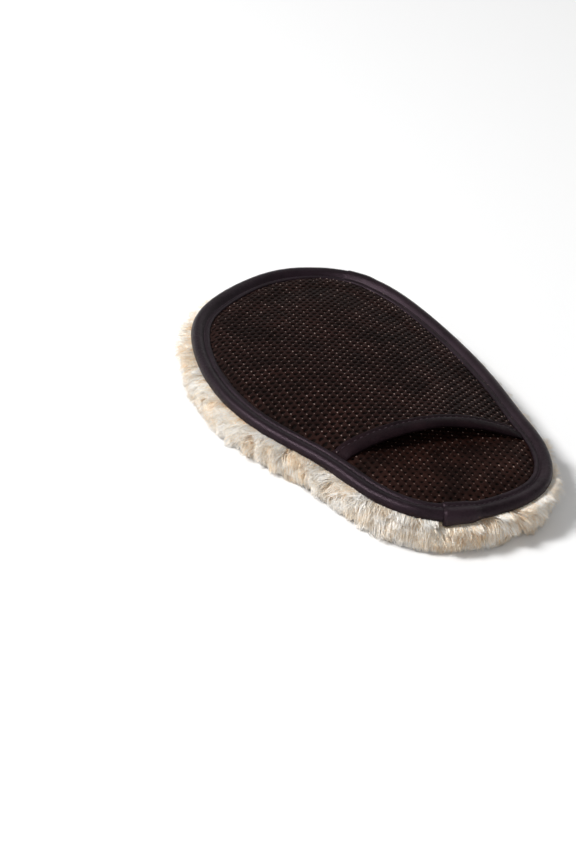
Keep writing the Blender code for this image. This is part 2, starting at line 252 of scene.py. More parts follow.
def along_edge(normal):
    """Level ways along the outline, anticlockwise, from its outward normals."""
    return np.column_stack([-normal[:, 1], normal[:, 0], np.zeros(len(normal))])


def station_of(x, y):
    """Length along the outline of the place nearest to a point."""
    return np.argmin(((EDGE - (x, y)) ** 2).sum(1)) * EDGE_LENGTH / EDGE_COUNT


# The right tape's ends, which lap over the left tape.
CUFF_END = station_of(RIGHT_TAPE[0][0], RIGHT_TAPE[0][1] + 2.5)
HEAD_END = station_of(LEFT_TAPE[1][0] - 4, RIGHT_TAPE[1][1] + 2)


# ---- heights

ABOVE = 0.1               # metres: rays down on the mitt start here
DOWN = Vector((0, 0, -1))


def top_of(node):
    """A function that gives the height of a CAD node's top in the plan, or None."""
    mesh = NODES[node].data
    tree = BVHTree.FromPolygons([v.co for v in mesh.vertices],
                                [p.vertices for p in mesh.polygons])

    def height(x, y):
        hit = tree.ray_cast(Vector((x * MM, y * MM, ABOVE)), DOWN)[0]
        return None if hit is None else hit.z / MM
    return height


class Heights:
    """A smooth map of the top of a CAD node, extended past its edges."""

    STEP = 2.0
    MARGIN = 4
    BLUR = 2

    def __init__(self, node):
        top = top_of(node)
        self.low = PILE[0][:2] - self.MARGIN
        reach = PILE[1][:2] + self.MARGIN - self.low
        grid = np.full(np.ceil(reach / self.STEP).astype(int) + 1, np.nan)
        for i, j in np.ndindex(grid.shape):
            found = top(*(self.low + self.STEP * np.array([i, j])))
            if found is not None:
                grid[i, j] = found
        self.grid = self.extended(grid)
        for _ in range(self.BLUR):
            self.grid = 0.5 * self.grid + 0.5 * self.neighbours(self.grid).mean(0)

    @staticmethod
    def neighbours(grid):
        padded = np.pad(grid, 1, mode="edge")
        return np.stack([padded[1 + di:padded.shape[0] - 1 + di, 1 + dj:padded.shape[1] - 1 + dj]
                         for di in (-1, 0, 1) for dj in (-1, 0, 1)])

    def extended(self, grid):
        while np.isnan(grid).any():
            around = self.neighbours(grid)
            known = ~np.isnan(around)
            total = np.where(known, around, 0).sum(0)
            fill = np.isnan(grid) & known.any(0)
            grid = np.where(fill, total / np.maximum(known.sum(0), 1), grid)
        return grid

    def __call__(self, x, y):
        u = np.clip((np.asarray(x) - self.low[0]) / self.STEP, 0, self.grid.shape[0] - 1.001)
        v = np.clip((np.asarray(y) - self.low[1]) / self.STEP, 0, self.grid.shape[1] - 1.001)
        i, j = u.astype(int), v.astype(int)
        return between(self.grid, i, j, u - i, v - j)


RIM_LEVEL = TAPE_AXIS + 2.0     # the cover is squeezed to this level at the binding
PALM_EDGE = TAPE_AXIS + 1.4     # the palm mesh comes out of the binding at this level
PALM_PRESSED = 0.65             # the pad under it is pressed down from its free height
COVER_HALF = 50.0               # the arch is level this far in from its sewn edge
COVER_MIDDLE = 4.0              # x of the cover's crown
palm_height = Heights("palm_mesh")
cover_height = Heights("back_mesh")

# Folds pressed into the cover: (one end, other end, rise).
FOLDS = [((-10, 59), (-11, 98), 0.55), ((-10, 59), (-30, 51), 0.45), ((36, -52), (50, -66), 0.5)]


def folds(x, y):
    """Small folds pressed into the cover: ridges along short lines of the plan."""
    total = np.zeros(np.shape(x))
    for (x0, y0), (x1, y1), rise in FOLDS:
        length = math.hypot(x1 - x0, y1 - y0)
        way = ((x1 - x0) / length, (y1 - y0) / length)
        along = (x - x0) * way[0] + (y - y0) * way[1]
        aside = (x - x0) * way[1] - (y - y0) * way[0]
        near = smooth((along + 3) / 6) * smooth((length + 3 - along) / 6)
        ridge = np.exp(-(aside / 1.3) ** 2)
        valley = 0.6 * np.exp(-((aside - 2.6) / 1.6) ** 2)
        total += rise * near * (ridge - valley)
    return total


def mouth_points():
    """The cover's free edge in the plan, from the CAD cover: the lowest y at each x."""
    top = top_of("back_mesh")
    found = []
    for x in np.arange(COVER[0][0], COVER[1][0], 1.0):
        low, high = COVER[0][1] - 5, COVER[0][1] + 40
        if top(x, high) is None:
            continue
        for _ in range(16):
            middle = (low + high) / 2
            low, high = (middle, high) if top(x, middle) is None else (low, middle)
        found.append((x, high))
    return np.array(found).T


MOUTH_X, MOUTH_Y = mouth_points()
_clear = depth(MOUTH_X, MOUTH_Y) > FLANGE + 1.2
MOUTH_X, MOUTH_Y = MOUTH_X[_clear], MOUTH_Y[_clear]
MOUTH_SCALE = 50.0
MOUTH_FIT = np.polyfit(MOUTH_X / MOUTH_SCALE, MOUTH_Y, 5)


def mouth_y(x):
    """y of the cover's free edge at x."""
    return np.polyval(MOUTH_FIT, np.clip(x, MOUTH_X[0], MOUTH_X[-1]) / MOUTH_SCALE)


def cover_thick(x, y):
    """Thickness of the cover's cloth, which is squeezed beside the binding."""
    return 0.55 + 0.95 * smooth((depth(x, y) - FLANGE) / 4.0)


def cover_top(x, y):
    """Top of the cover's cloth: an arch between its sewn edges that is as high along
    its middle as the CAD dome, and never lower than the palm mesh it lies on."""
    inside = np.clip(depth(x, y) - FLANGE, 0, COVER_HALF)
    arch = inside * (2 * COVER_HALF - inside) / COVER_HALF**2
    creases = 0.22 * noise_2d(5, 26, x + y * 0.6, y * 0.35) + folds(x, y)
    crown = cover_height(np.full(np.shape(x), COVER_MIDDLE), y) - RIM_LEVEL
    dome = RIM_LEVEL + (crown + creases) * arch
    sewn = 1 - smooth(inside / 3.0)
    lying = (palm_top(x, y) + cover_thick(x, y) + 0.35) * (1 - sewn) + RIM_LEVEL * sewn
    return np.maximum(dome, lying)


def palm_top(x, y):
    """Top of the palm mesh, with the soft hollows of a sewn pad."""
    held = smooth((depth(x, y) - FLANGE) / 8.0)
    creases = 0.25 * noise_2d(9, 30, x, y)
    full = palm_height(x, y)
    return PALM_EDGE + (full - PALM_EDGE) * PALM_PRESSED + (creases - 0.1) * held


def palm_thick(x, y):
    """Thickness of the palm mesh."""
    return 1.2 + 0.2 * smooth((depth(x, y) - FLANGE) / 6.0)


# ---- materials

class Nodes:
    """Small helper to build a Principled material's node tree."""

    def __init__(self, name, colour, roughness, **values):
        self.material = bpy.data.materials.new(name)
        self.material.use_nodes = True
        self.tree = self.material.node_tree
        self.shader = self.tree.nodes["Principled BSDF"]
        self.shader.inputs["Base Color"].default_value = (*colour, 1)
        self.shader.inputs["Roughness"].default_value = roughness
        for key, value in values.items():
            socket = self.shader.inputs[key.replace("_", " ")]
            socket.default_value = (*value, 1) if isinstance(value, tuple) else value

    def add(self, kind, settings=None, **inputs):
        made = self.tree.nodes.new(kind)
        for key, value in (settings or {}).items():
            setattr(made, key, value)
        for key, value in inputs.items():
            self.set(made, key.replace("_", " "), value)
        return made

    def set(self, node, key, value):
        if isinstance(value, bpy.types.NodeSocket):
            self.tree.links.new(value, node.inputs[key])
        else:
            node.inputs[key].default_value = value

    def place(self, scale=(1, 1, 1)):
        """Position in the object, in metres, stretched by a scale."""
        coordinates = self.add("ShaderNodeTexCoord")
        mapping = self.add("ShaderNodeMapping", Vector=coordinates.outputs["Object"])
        mapping.inputs["Scale"].default_value = scale
        return mapping.outputs["Vector"]

    def noise(self, scale, detail=2.0, place=None):
        return self.add("ShaderNodeTexNoise", Vector=place or self.place(), Scale=scale,
                        Detail=detail).outputs["Fac"]

    def ramp(self, factor, *stops):
        """A colour ramp; each stop is (position, colour)."""
        made = self.add("ShaderNodeValToRGB", Fac=factor)
        elements = made.color_ramp.elements
        while len(elements) < len(stops):
            elements.new(0.5)
        for element, (position, colour) in zip(elements, stops):
            element.position = position
            element.color = (*colour, 1)
        return made.outputs["Color"]

    def mix(self, share, first, second):
        """The first value, with a share of the second mixed in."""
        made = self.add("ShaderNodeMix", {"data_type": "FLOAT"}, Factor=share)
        self.tree.links.new(first, made.inputs[2])
        self.tree.links.new(second, made.inputs[3])
        return made.outputs[0]

    def span(self, factor, low, high):
        made = self.add("ShaderNodeMapRange", Value=factor)
        made.inputs["To Min"].default_value = low
        made.inputs["To Max"].default_value = high
        return made.outputs["Result"]

    def bump(self, height, strength, distance):
        made = self.add("ShaderNodeBump", Height=height, Strength=strength, Distance=distance)
        self.tree.links.new(made.outputs["Normal"], self.shader.inputs["Normal"])

    def colour(self, socket):
        self.tree.links.new(socket, self.shader.inputs["Base Color"])

    def rough(self, socket):
        self.tree.links.new(socket, self.shader.inputs["Roughness"])


def mesh_material(name, dark, light, roughness):
    """Knitted spacer mesh: rib yarns with a fine twist and patchy sheen."""
    n = Nodes(name, light, roughness, Specular_IOR_Level=0.08,
              Specular_Tint=(1.0, 0.7, 0.62))
    patch = n.noise(60, 3.0)
    n.colour(n.ramp(patch, (0.35, dark), (0.68, light)))
    n.rough(n.span(n.noise(900), roughness - 0.12, roughness + 0.12))
    twist = n.add("ShaderNodeTexWave", {"bands_direction": "DIAGONAL"}, Vector=n.place(),
                  Scale=900.0, Distortion=3.0).outputs["Fac"]
    n.bump(twist, 0.5, 0.0002)
    return n.material


def tape_material(name, dark, light, shine, roughness):
    """Satin binding tape: finely mottled, with a soft broken highlight."""
    n = Nodes(name, light, roughness, Specular_IOR_Level=shine, Anisotropic=0.3,
              Specular_Tint=(1.0, 0.72, 0.88))
    mottled = n.mix(0.45, n.noise(70, 4.0), n.noise(1100, 2.0))
    n.colour(n.ramp(mottled, (0.38, dark), (0.62, light)))
    n.rough(n.span(n.noise(500, 3.0), roughness - 0.11, roughness + 0.11))
    grain = n.add("ShaderNodeMath", {"operation": "ADD"})
    n.tree.links.new(n.noise(2400, 1.0), grain.inputs[0])
    n.tree.links.new(n.noise(420, 3.0), grain.inputs[1])
    n.bump(grain.outputs[0], 0.5, 0.0003)
    return n.material


def fibre_material(name, low, high, roughness=0.62):
    """Pile fibre: colour drifts slowly from lock to lock."""
    n = Nodes(name, high, roughness, Sheen_Weight=0.3, Sheen_Roughness=0.5,
              Specular_IOR_Level=0.35)
    drift = n.mix(0.42, n.noise(95, 3.0), n.noise(1300, 1.0))
    n.colour(n.ramp(drift, (0.41, low), (0.57, high)))
    return n.material


def cloth_material(name, dark, light, scale, depth_of_bump):
    """Plain knitted or foamed stuff with a fine grain."""
    n = Nodes(name, light, 0.9, Specular_IOR_Level=0.1)
    grain = n.noise(scale, 4.0)
    n.colour(n.ramp(grain, (0.3, dark), (0.7, light)))
    n.bump(grain, 0.7, depth_of_bump)
    return n.material


MESH_RIB = mesh_material("back_mesh_rib", (0.0048, 0.0014, 0.0011), (0.017, 0.0060, 0.0048), 0.5)
PALM_RIB = mesh_material("palm_mesh_rib", (0.006, 0.0018, 0.0013), (0.021, 0.0074, 0.0054), 0.55)
# Depths of the mesh pits and the cloth's underside: near black, partly the cloth's dark lower face
# and partly painted shade in the pits.
MESH_PIT_SHADE = cloth_material("mesh_pit_painted_shade", (0.002, 0.001, 0.001), (0.006, 0.003, 0.002), 2500,
                          0.0001)
# Loops on the mesh crests: their light colour is painted highlight, the glints of light on the
# loops; the palm's are dimmer.
LOOP_GLINT = mesh_material("back_mesh_loop_painted_glint", (0.16, 0.105, 0.09), (0.52, 0.40, 0.36), 0.35)
PALM_LOOP_GLINT = mesh_material("palm_mesh_loop_painted_glint", (0.07, 0.043, 0.036), (0.30, 0.21, 0.18), 0.4)
TAPE = tape_material("satin_tape", (0.004, 0.0022, 0.0030), (0.011, 0.0062, 0.0090),
                     0.22, 0.38)
TAPE_RIGHT = tape_material("satin_tape_right", (0.004, 0.0022, 0.0028), (0.015, 0.0086, 0.0115),
                           0.2, 0.42)
# The mouth's tape is a darker copy of the satin tape: the darker colour is painted shade.
MOUTH_TAPE_SHADED = tape_material("satin_tape_mouth_painted_shade", (0.0035, 0.0018, 0.0024), (0.0108, 0.0052, 0.0064),
                           0.07, 0.55)
THREAD = cloth_material("sewing_thread", (0.020, 0.013, 0.016), (0.075, 0.055, 0.066), 3000,
                        0.0001)
# Pile fibres, root to tip: the darker tan at the root is painted shade deep in the pile, and the
# near-white at the tip is painted highlight.
PILE_ROOT_SHADE = fibre_material("pile_root_painted_shade", (0.78, 0.50, 0.28), (0.97, 0.83, 0.64))
PILE_MIDDLE = fibre_material("pile_middle", (0.88, 0.66, 0.42), (0.98, 0.91, 0.79))
PILE_TIP_HIGHLIGHT = fibre_material("pile_tip_painted_highlight", (0.93, 0.81, 0.65), (0.99, 0.965, 0.925), 0.45)
KNIT = cloth_material("backing_knit", (0.55, 0.43, 0.28), (0.78, 0.66, 0.48), 1500, 0.0002)
FOAM = cloth_material("sponge", (0.60, 0.57, 0.46), (0.78, 0.75, 0.66), 1200, 0.0004)


# ---- mesh cloth

def cell_centres(inside):
    """Centres of the staggered cells whose middle passes the test."""
    low, high = PILE[0][:2], PILE[1][:2]
    columns = np.arange(math.floor(low[0] / CELL_COLUMN), math.ceil(high[0] / CELL_COLUMN))
    rows = np.arange(math.floor(low[1] / CELL_PITCH), math.ceil(high[1] / CELL_PITCH))
    i, j = np.meshgrid(columns, rows, indexing="ij")
    x = i * CELL_COLUMN
    y = (j + 0.5 * (i % 2)) * CELL_PITCH
    keep = inside(x, y)
    return np.stack([x[keep], y[keep]], axis=1)


def cell_rim(sides):
    """The border of a cell round its centre: a hexagon, with a point in each side
    when sides is 12. Also the same number of points on a circle, for its pit."""
    square = CELL_COLUMN**2 + CELL_PITCH**2 / 4
    point = square / (2 * CELL_COLUMN)
    flat = (CELL_COLUMN**2 - CELL_PITCH**2 / 4) / (2 * CELL_COLUMN)
    hexagon = np.array([(point, 0), (flat, CELL_PITCH / 2), (-flat, CELL_PITCH / 2),
                        (-point, 0), (-flat, -CELL_PITCH / 2), (flat, -CELL_PITCH / 2)])
    if sides == 12:
        middles = (hexagon + np.roll(hexagon, -1, 0)) / 2
        hexagon = np.stack([hexagon, middles], axis=1).reshape(-1, 2)
    angles = np.arctan2(hexagon[:, 1], hexagon[:, 0])
    return hexagon, np.stack([np.cos(angles), np.sin(angles)], axis=1)


def cell_points(centres, top, thick, sides, hole, size):
    """Points of every cell: four rings from its border down into its pit, its border's
    underside, and the middle of the pit's floor. size scales each cell's pit."""
    border, around = cell_rim(sides)
    pit = around * hole
    lip = border * 0.45 + pit * 0.55
    every = (len(centres), sides, 2)
    rings = [(np.broadcast_to(border, every), 0.0), (np.broadcast_to(lip, every), -0.10),
             (pit * size * 1.02, -0.34), (pit * size * 0.93, -CELL_DEPTH)]
    blocks = []
    for ring, drop in rings:
        x, y = np.moveaxis(centres[:, None] + ring, -1, 0)
        share = thick(x, y) / thick(0, 0)
        blocks.append(np.stack([x, y, top(x, y) + drop * share], axis=2).reshape(-1, 3))
    x, y = np.moveaxis(centres[:, None] + border, -1, 0)
    blocks.append(np.stack([x, y, top(x, y) - thick(x, y)], axis=2).reshape(-1, 3))
    x, y = centres.T
    blocks.append(np.column_stack([x, y, top(x, y) - CELL_DEPTH * thick(x, y) / thick(0, 0)]))
    return np.concatenate(blocks)


def welded(points, cells, sides):
    """Which points to keep, and each point's place among them. Cells share the points
    of their common border, above and below, and no others."""
    ring = cells * sides
    spot = np.round(points[:, :2] * 40).astype(np.int64) + 10_000
    key = spot[:, 0] * 1_000_000 + spot[:, 1]
    key[4 * ring:5 * ring] += 10**12
    key[ring:4 * ring] = -1 - np.arange(3 * ring)
    key[5 * ring:] = -1 - 3 * ring - np.arange(cells)
    _, kept, index = np.unique(key, return_index=True, return_inverse=True)
    return kept, index


def cell_faces(index, cells, sides):
    """Faces of the welded cells, and their material slots: 0 on ribs, and 1 deep in the
    pits and under the cloth, whose near-black colour is partly painted shade.
    """
    ring = cells * sides
    first = np.arange(cells)[:, None] * sides
    here = first + np.arange(sides)
    after = first + (np.arange(sides) + 1) % sides
    middle = np.broadcast_to(5 * ring + np.arange(cells)[:, None], here.shape)
    slopes = [np.stack([here + low, after + low, after + low + ring, here + low + ring],
                       axis=2).reshape(-1, 4) for low in (0, ring, 2 * ring)]
    floors = np.stack([here + 3 * ring, after + 3 * ring, middle], axis=2).reshape(-1, 3)
    backs = here[:, ::-1] + 4 * ring
    start, end = index[here].ravel(), index[after].ravel()
    side = np.minimum(start, end) * len(index) + np.maximum(start, end)
    _, which, times = np.unique(side, return_index=True, return_counts=True)
    rim = which[times == 1]
    walls = np.stack([end[rim], start[rim], index[here.ravel()[rim] + 4 * ring],
                      index[after.ravel()[rim] + 4 * ring]], axis=1)
    faces = [*index[np.concatenate(slopes)], *index[floors], *index[backs], *walls]
    slots = [0] * (2 * ring) + [1] * (2 * ring + cells) + [0] * len(walls)
    return faces, slots


def mesh_cloth(name, inside, top, thick, sides, hole, rib, seed):
    """A closed sheet of spacer mesh: rounded ribs round pits, and a plain back.
    hole is the half width and half height of a pit."""
    centres = cell_centres(inside)
    size = 1 + np.random.default_rng(seed).normal(0, 0.06, (len(centres), 1, 1))
    points = cell_points(centres, top, thick, sides, hole, size)
    kept, index = welded(points, len(centres), sides)
    faces, slots = cell_faces(index, len(centres), sides)
    return mesh_object(name, points[kept], faces, [rib, MESH_PIT_SHADE], slots), centres


def mesh_loops(name, centres, top, seed, share, material, size):
    """The knitted loops on the crests between cells, as small raised lozenges in a light
    colour that is painted highlight, the glints of light on the loops. Fewer crests carry
    one towards the finger end, and those of every other column are larger."""
    random = np.random.default_rng(seed)
    full = np.round(centres[:, 0] / CELL_COLUMN).astype(int) % 2 == 0
    share = share * (1 - 0.45 * smooth((centres[:, 1] - 20) / 60))
    kept = random.random(len(centres)) < np.where(full, share, share * 0.7)
    chosen, full = centres[kept], full[kept]
    border, _ = cell_rim(6)
    spots = chosen + border[0] + random.normal(0, 0.12, chosen.shape)
    shape = np.array([(0.36, 0, 0), (0, 0.6, 0), (-0.36, 0, 0), (0, -0.6, 0), (0, 0, 0.3),
                      (0, 0, -0.2)])
    faces = ([(k, (k + 1) % 4, 4) for k in range(4)] + [((k + 1) % 4, k, 5) for k in range(4)])
    grow = (size * random.uniform(0.6, 1.15, len(spots)) * np.where(full, 1, 0.7))[:, None, None]
    base = np.column_stack([spots, top(spots[:, 0], spots[:, 1]) + 0.04])
    points = (base[:, None] + shape[None] * grow).reshape(-1, 3)
    faces = (np.array(faces)[None] + 6 * np.arange(len(spots))[:, None, None]).reshape(-1, 3)
    return mesh_object(name, points, faces, [material])


# ---- tapes

TAPE_SECTION = np.array([   # (inset, height over the fold), upper edge to lower edge
    (9.7, 1.7), (9.65, 2.2), (9.2, 2.6), (8.4, 2.72), (7.5, 2.5), (6.95, 2.0), (6.6, 1.78),
    (6.25, 2.05), (5.7, 2.7), (4.7, 3.2), (3.4, 3.4), (2.1, 3.2), (1.0, 2.5), (0.3, 1.4),
    (0.0, 0.0), (0.3, -1.4), (1.0, -2.3), (2.2, -2.8), (4.2, -2.9), (6.2, -2.5), (7.4, -2.4),
    (9.2, -2.5), (9.5, -2.1), (9.5, -1.75), (6.0, -1.65), (3.2, -1.6), (2.2, -1.1), (2.0, 0.0),
    (2.2, 1.1), (3.2, 1.5), (6.0, 1.42), (8.6, 1.5)])


def plump(normal):
    """How much fuller the fold is: 1 round the finger end, 0 at the cuff."""
    return smooth((normal[:, 0] * 0.35 + normal[:, 1] * 0.94 + 0.15) / 0.85)


def lap(distance):
    """How far the upper tape has risen, by its distance from its lapped end."""
    return 1 - smooth((distance - LAP_LENGTH) / 7.0)


def cuff_droop(stations):
    """How far the right tape's lower side hangs down beside its cuff end."""
    return CUFF_DROOP * (1 - smooth((stations - CUFF_END) / 9.0))


def tape_waves(stations, seed):
    """Long, middling and short waves at stations round the edge, as columns."""
    where = stations / EDGE_LENGTH * WAVE_TABLE
    table = np.arange(2 * WAVE_TABLE)
    return [np.interp(where, table, np.tile(noise_1d(seed + k, WAVE_TABLE, k), 2))
            for k in (14, 60, 190)]


def edge_tape(name, start, end, laps, material, seed):
    """A tape folded over the edge between two stations. A lapped tape swells over
    the other at both its ends, and its cuff end hangs a little lower."""
    count = int((end - start) / TAPE_STATION) + 2
    stations = np.linspace(start, end, count)
    point, normal = at(stations)
    swell, droop = np.zeros(count), np.zeros(count)
    if laps:
        swell = np.maximum(lap(stations - start), HEAD_LAP_SHARE * lap(end - stations))
        droop = cuff_droop(stations)
    inset, height = (np.repeat(TAPE_SECTION[None, :, k], count, axis=0) for k in (0, 1))
    long, middling, short = tape_waves(stations, seed)
    roll = np.exp(-((inset - 3.2) / 2.6) ** 2)
    flange = smooth((inset - 6.9) / 1.2)
    up = height > 0
    height += (0.16 * long + 0.06 * middling)[:, None] * roll * np.sign(height)
    height += (0.10 * middling + 0.09 * short)[:, None] * flange * up
    inset += (0.22 * long + 0.16 * middling)[:, None] * flange
    full = plump(normal)[:, None]
    height *= 1 + 0.5 * (full * roll * up)
    inset -= 2.0 * full * (1 - smooth((inset - 0.5) / 6.5))
    growth = swell[:, None] * LAP_GROWTH
    height += growth * np.sign(height) * np.where(up, LAP_ABOVE, 0.35)
    inset -= growth * (1 - smooth((inset - 2.0) / 5.0))
    height -= droop[:, None] * smooth((-height - 0.5) / 2.0)
    ends = np.minimum(stations - start, end - stations)
    height *= (1 - 0.12 * (1 - smooth(ends / 1.2)))[:, None]
    plan = point[:, None] - normal[:, None] * inset[..., None]
    points = np.dstack([plan, TAPE_AXIS + height]).reshape(-1, 3)
    return tube(name, points, len(TAPE_SECTION), material)


def swell_near(station):
    """Rise of the tape's top at stations round the edge, for what is sewn on it."""
    where = (np.asarray(station) - CUFF_END) % EDGE_LENGTH + CUFF_END
    rise = np.maximum(lap(where - CUFF_END), HEAD_LAP_SHARE * lap(HEAD_END - where))
    past = np.maximum(where - HEAD_END, 0)
    return LAP_GROWTH * LAP_ABOVE * np.where(past > 0.8, 0, rise)


def stitch_row(name, centres, forward, upper, length):
    """A row of separate stitches, each a thread that dives into the cloth at its ends."""
    upright = np.tile([0, 0, 1.0 if upper else -1.0], (len(centres), 1))
    upright -= forward * (upright * forward).sum(1)[:, None]
    steps = np.linspace(-1, 1, 7)[:, None, None]
    angles = np.linspace(0, 2 * np.pi, STITCH_SIDES, endpoint=False)[:, None]
    dive = -0.55 * np.abs(steps) ** 3
    thin = 1 - 0.35 * np.abs(steps) ** 2
    side = np.cross(upright, forward)[:, None, None]
    ahead, rise = forward[:, None, None], upright[:, None, None]
    points = (centres[:, None, None] + ahead * (steps * length / 2) + rise * dive
              + side * (np.cos(angles) * STITCH_RADIUS) * thin
              + rise * (np.sin(angles) * STITCH_RADIUS * 0.75) * thin).reshape(-1, 3)
    count, block = len(centres), len(steps) * STITCH_SIDES
    quads = np.array(ring_quads(STITCH_SIDES, len(steps)))
    quads = (quads[None] + block * np.arange(count)[:, None, None]).reshape(-1, 4)
    end = np.arange(STITCH_SIDES)
    caps = [end[::-1] + block * k for k in range(count)]
    caps += [end + block * (k + 1) - STITCH_SIDES for k in range(count)]
    return mesh_object(name, points, [*quads, *caps], [THREAD])


def edge_stitches(name, upper):
    """The seam round the edge, in the groove of the tape or on its lower side."""
    count = int(EDGE_LENGTH / STITCH_PITCH)
    stations = (np.arange(count) + 0.5) * EDGE_LENGTH / count
    point, normal = at(stations)
    rise = swell_near(stations)
    inset, height = (6.8, 1.98 + rise) if upper else (7.0, -2.5 - rise * 0.45)
    centres = np.column_stack([point - normal * inset, TAPE_AXIS + height])
    return stitch_row(name, centres, along_edge(normal), upper, STITCH_PITCH * 0.72)


# ---- mouth tape

MOUTH_SECTION = np.array([  # (ahead of the free edge, height over the cloth's middle)
    (8.0, 0.95), (7.8, 1.3), (7.0, 1.5), (6.0, 1.3), (5.5, 1.06), (5.0, 1.3), (3.8, 1.75),
    (2.2, 1.85), (0.6, 1.7), (-0.7, 1.25), (-1.35, 0.5), (-1.5, -0.2), (-1.2, -0.95),
    (-0.3, -1.4), (1.5, -1.55), (4.5, -1.45), (7.6, -1.35), (7.8, -1.05), (4.5, -0.95),
    (1.0, -0.95), (-0.35, -0.7), (-0.7, 0.0), (-0.35, 0.7), (1.0, 0.98), (4.5, 0.95)])


def mouth_frames(xs):
    """Points on the mouth line, and the way into the cover from each."""
    ys = mouth_y(xs)
    slope = mouth_y(xs + 0.5) - mouth_y(xs - 0.5)
    size = np.hypot(slope, 1)
    square = np.column_stack([-slope / size, 1 / size])
    return np.column_stack([xs, ys]), square


MOUTH_ENDS = (MOUTH_X[0] - 3.0, MOUTH_X[-1] + 3.0)


def mouth_middle(x, y):
    """Middle of the cover's cloth, carried on level past its free edge."""
    inside = np.maximum(y, mouth_y(x) + 0.5)
    return cover_top(x, inside) - cover_thick(x, inside) / 2


def mouth_tape(name):
    """The tape folded over the cover's free edge. At the corners it runs along the
    sewn edges and dips under the edge binding."""
    count = int((MOUTH_ENDS[1] - MOUTH_ENDS[0]) / 1.2)
    xs = np.linspace(*MOUTH_ENDS, count)
    point, square = mouth_frames(xs)
    turned = corner_turn(xs, square)
    ahead, height = (np.repeat(MOUTH_SECTION[None, :, k], count, axis=0) for k in (0, 1))
    waves = noise_1d(31, count, 12)[:, None]
    ripple = noise_1d(37, count, 40)[:, None]
    height = height * (1 + 0.06 * waves) + 0.08 * ripple * (height > 0)
    from_end = np.minimum(xs - MOUTH_ENDS[0], MOUTH_ENDS[1] - xs)[:, None]
    height = height * (0.35 + 0.65 * smooth((from_end - 1.0) / 8.0))
    ahead = ahead + 0.15 * waves * (ahead > 6)
    plan = point[:, None] + turned[:, None] * ahead[..., None]
    base = mouth_middle(plan[..., 0], plan[..., 1])
    points = np.dstack([plan, base + height]).reshape(-1, 3)
    return tube(name, points, len(MOUTH_SECTION), MOUTH_TAPE_SHADED)


def corner_turn(xs, square):
    """The way into the cover, turned towards the sewn edges at the corners."""
    turned = square.copy()
    for end, sign in ((0, 1), (1, -1)):
        x = MOUTH_ENDS[end]
        _, normal = at(station_of(x, mouth_y(x)))
        along = np.array([-normal[1], normal[0]])
        along = along if along[1] > 0 else -along
        share = 1 - smooth((xs - x) * sign / 20)
        turned = turned * (1 - share[:, None]) + along * share[:, None]
    return turned / (turned * square).sum(1)[:, None]


def mouth_stitches(name, upper):
    """The dotted seam along the head side of the mouth tape."""
    count = int((MOUTH_ENDS[1] - MOUTH_ENDS[0] - 6) / 2.9)
    xs = np.linspace(MOUTH_ENDS[0] + 3, MOUTH_ENDS[1] - 3, count)
    point, square = mouth_frames(xs)
    spot = point + corner_turn(xs, square) * 5.5
    side = 1.2 if upper else -1.5
    centres = np.column_stack([spot, mouth_middle(spot[:, 0], spot[:, 1]) + side])
    return stitch_row(name, centres, unit(np.gradient(centres, axis=0)), upper, 2.0)


# ---- layers inside

def layer(name, profile, material):
    """A closed sheet with the mitt's outline, from (inset, height) pairs."""
    edge, normal = EDGE[::LAYER_STEP], NORMAL[::LAYER_STEP]
    points = np.concatenate([np.column_stack([edge - normal * inset, np.full(len(edge), height)])
                             for inset, height in profile])
    return tube(name, points, len(edge), material)


# ---- pile

RIM_PROFILE = np.array([  # (outset from the outline, height) round the pile's bulge
    (-7.0, 14.8), (-3.0, 14.6), (-0.9, 13.4), (0.1, 11.2), (0.6, 8.4), (0.5, 5.6), (-0.4, 2.8),
    (-2.4, 1.2), (-6.0, 0.9)])


def tuck(normal):
    """The pile lies closer in on the side that was combed last."""
    return -1.8 * smooth((normal[:, 0] * 0.9 + normal[:, 1] * 0.5 + 0.2) / 0.7)


def rim_at(share):
    """Place (outset, height), way down and way out of the pile's body at shares of
    its profile."""
    steps = np.linalg.norm(np.diff(RIM_PROFILE, axis=0), axis=1)
    along = np.concatenate([[0], np.cumsum(steps)]) / steps.sum()
    place, ahead, behind = (
        np.stack([np.interp(np.clip(share + shift, 0, 1), along, RIM_PROFILE[:, k])
                  for k in (0, 1)], axis=-1) for shift in (0, 0.03, -0.03))
    way = unit(ahead - behind)
    return place, way, np.stack([-way[..., 1], way[..., 0]], axis=-1)


def pile_body(name):
    """The mass of the pile: a soft uneven cushion under the fibres, in the root colour,
    which is painted shade where it shows between them.
    """
    edge, normal = EDGE[::BODY_STEP], NORMAL[::BODY_STEP]
    count = len(edge)
    shares = np.linspace(0, 1, 26)
    place, _, out = rim_at(shares)
    lumps = [noise_1d(50 + k, count, 70 + 9 * (k % 3)) for k in range(len(shares))]
    rings = []
    for k, share in enumerate(shares):
        lump = 0.5 * lumps[k] + 0.5 * lumps[max(k - 1, 0)]
        push = (lump * 1.3 - 0.9) * math.sin(math.pi * min(share * 1.15, 1))
        outset = place[k, 0] + out[k, 0] * push + tuck(normal)
        height = np.clip(place[k, 1] + out[k, 1] * push, 0.6, 14.9)
        rings.append(np.column_stack([edge + normal * outset[:, None],
                                      np.broadcast_to(height, count)]))
    for inset in (16, 30, 46, 60):
        plan = edge - normal * inset
        rings.append(np.column_stack([plan, 1.0 + 0.35 * noise_2d(71, 9, *plan.T)]))
    points = np.concatenate(rings)
    here = np.arange(count)
    after = (here + 1) % count
    quads = np.concatenate([np.stack([here + k * count, here + (k + 1) * count,
                                      after + (k + 1) * count, after + k * count], axis=1)
                            for k in range(len(rings) - 1)])
    faces = [*quads, here, (here + (len(rings) - 1) * count)[::-1]]
    return mesh_object(name, points, faces, [PILE_ROOT_SHADE])


